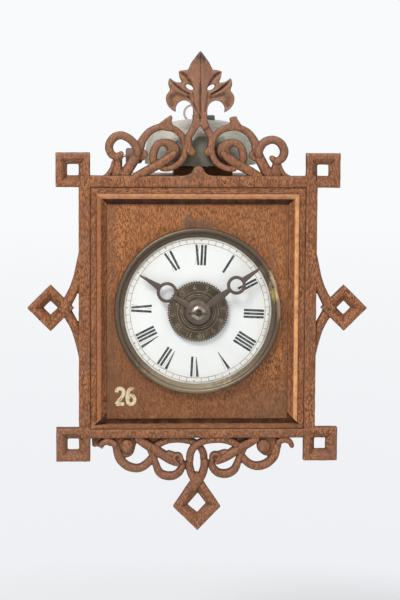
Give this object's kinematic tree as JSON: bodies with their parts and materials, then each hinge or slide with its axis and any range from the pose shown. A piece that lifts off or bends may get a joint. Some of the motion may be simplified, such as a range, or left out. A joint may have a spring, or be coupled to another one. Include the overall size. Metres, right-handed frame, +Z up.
{
  "type": "wall clock",
  "caption": "Carved wooden wall clock with a fretwork front, white enamel dial, brass alarm disc and a bell on top of its case.",
  "frame": {"origin": "centre of the hanging eye's hole, on the wall plane", "axes": "+Z up, -Y towards the viewer, the wall is the plane y = 0"},
  "size_m": [0.2558, 0.1189, 0.3623],
  "materials": {
    "carved_wood": "waxed walnut, worn along the edges",
    "dark_wood": "stained walnut",
    "panel_wood": "stained and varnished",
    "case_wood": "plain stained spruce",
    "enamel": "glossy white enamel",
    "tarnished_brass": "tarnished, rubbed bright in places",
    "brass": "dull brass",
    "steel": "dark steel",
    "bell_metal": "pale cast bell metal, dull"
  },
  "bodies": {
    "root": {"crest_board": "carved_wood", "apron_board": "carved_wood", "left_stile": "carved_wood", "right_stile": "carved_wood", "top_moulding": "dark_wood", "bottom_moulding": "dark_wood", "left_moulding": "carved_wood", "right_moulding": "carved_wood", "front_board": "dark_wood", "dial_panel": "panel_wood", "enamel_dial": "enamel", "bezel": "tarnished_brass", "front_plate": "brass", "back_plate": "brass", "pillars": "brass", "dial_feet": "brass", "suspension_cock": "brass", "bell": "bell_metal", "bell_post": "steel", "bell_nut": "steel", "bell_block": "case_wood", "top_board": "case_wood", "bottom_board": "case_wood", "corner_posts": "case_wood", "back_board": "case_wood", "hinge_pins": "steel", "hanger_eye": "steel"},
    "minute": {"centre_arbor": "steel", "centre_wheel": "brass", "cannon_pinion": "steel", "minute_hand": "tarnished_brass", "hand_nut": "brass", "taper_pin": "steel"},
    "hour": {"hour_wheel": "brass", "hour_hand": "tarnished_brass"},
    "alarm_setting": {"alarm_disc": "tarnished_brass", "alarm_pipe": "brass", "alarm_cam": "brass"},
    "minute_work": {"minute_wheel": "brass"},
    "third": {"third_arbor": "steel", "third_wheel": "brass"},
    "escape": {"escape_arbor": "steel", "escape_wheel": "brass"},
    "great": {"great_arbor": "steel", "great_wheel": "brass"},
    "sprocket": {"chain_sprocket": "brass"},
    "click": {"click": "steel"},
    "anchor": {"anchor_arbor": "steel", "anchor": "steel"},
    "alarm": {"alarm_arbor": "steel", "alarm_wheel": "brass", "alarm_sprocket": "brass"},
    "hammer": {"hammer_arbor": "steel", "hammer_wire": "steel", "hammer_head": "steel"},
    "release": {"release_lever": "brass"},
    "left_door": {"left_door": "case_wood"},
    "right_door": {"right_door": "case_wood"},
    "left_catch": {"left_catch": "brass"},
    "right_catch": {"right_catch": "brass"}
  },
  "joints": [
    {"name": "minute_turn", "type": "hinge", "parent": "root", "child": "minute", "pos_m": [0, -0.08, -0.146], "axis": [0, 1, 0], "continuous": true},
    {"name": "hour_turn", "type": "hinge", "parent": "root", "child": "hour", "pos_m": [0, -0.087, -0.146], "axis": [0, 1, 0], "continuous": true},
    {"name": "alarm_setting_turn", "type": "hinge", "parent": "hour", "child": "alarm_setting", "pos_m": [0, -0.095, -0.146], "axis": [0, 1, 0], "continuous": true},
    {"name": "minute_wheel_turn", "type": "hinge", "parent": "root", "child": "minute_work", "pos_m": [0.01273, -0.084, -0.13327], "axis": [0, 1, 0], "continuous": true},
    {"name": "third_turn", "type": "hinge", "parent": "root", "child": "third", "pos_m": [-0.01611, -0.054, -0.12508], "axis": [0, 1, 0], "continuous": true},
    {"name": "escape_turn", "type": "hinge", "parent": "root", "child": "escape", "pos_m": [0, -0.054, -0.1101], "axis": [0, 1, 0], "continuous": true},
    {"name": "great_turn", "type": "hinge", "parent": "root", "child": "great", "pos_m": [0.01201, -0.054, -0.17018], "axis": [0, 1, 0], "continuous": true},
    {"name": "sprocket_turn", "type": "hinge", "parent": "great", "child": "sprocket", "pos_m": [0.01201, -0.058, -0.17018], "axis": [0, 1, 0], "continuous": true},
    {"name": "click_lift", "type": "hinge", "parent": "great", "child": "click", "pos_m": [0.0043, -0.0636, -0.15685], "axis": [0, -1, 0], "range_deg": [0, 12], "stiffness_Nm_per_rad": 0.01},
    {"name": "anchor_swing", "type": "hinge", "parent": "root", "child": "anchor", "pos_m": [0, -0.054, -0.089], "axis": [0, 1, 0], "range_deg": [-2.4, 2.4]},
    {"name": "alarm_turn", "type": "hinge", "parent": "root", "child": "alarm", "pos_m": [-0.042, -0.054, -0.128], "axis": [0, 1, 0], "continuous": true},
    {"name": "hammer_swing", "type": "hinge", "parent": "root", "child": "hammer", "pos_m": [-0.05, -0.054, -0.092], "axis": [0, 1, 0], "range_deg": [-4, 1.5], "stiffness_Nm_per_rad": 0.1},
    {"name": "release_lift", "type": "hinge", "parent": "root", "child": "release", "pos_m": [-0.024, -0.09, -0.138], "axis": [0, -1, 0], "range_deg": [0, 5], "stiffness_Nm_per_rad": 0.02},
    {"name": "left_door_hinge", "type": "hinge", "parent": "root", "child": "left_door", "pos_m": [-0.06425, -0.01815, -0.146], "axis": [0, 0, -1], "range_deg": [0, 100]},
    {"name": "right_door_hinge", "type": "hinge", "parent": "root", "child": "right_door", "pos_m": [0.06425, -0.01815, -0.146], "axis": [0, 0, 1], "range_deg": [0, 100]},
    {"name": "left_catch_turn", "type": "hinge", "parent": "root", "child": "left_catch", "pos_m": [-0.0663, -0.0865, -0.14], "axis": [1, 0, 0], "range_deg": [0, 90]},
    {"name": "right_catch_turn", "type": "hinge", "parent": "root", "child": "right_catch", "pos_m": [0.0663, -0.0865, -0.14], "axis": [1, 0, 0], "range_deg": [0, 90]}
  ],
  "couplings": [
    {"joint": "hour_turn", "follows": "minute_turn", "ratio": 0.083333},
    {"joint": "minute_wheel_turn", "follows": "minute_turn", "ratio": -0.33333},
    {"joint": "third_turn", "follows": "minute_turn", "ratio": -10},
    {"joint": "escape_turn", "follows": "minute_turn", "ratio": 90},
    {"joint": "great_turn", "follows": "minute_turn", "ratio": -0.25}
  ]
}
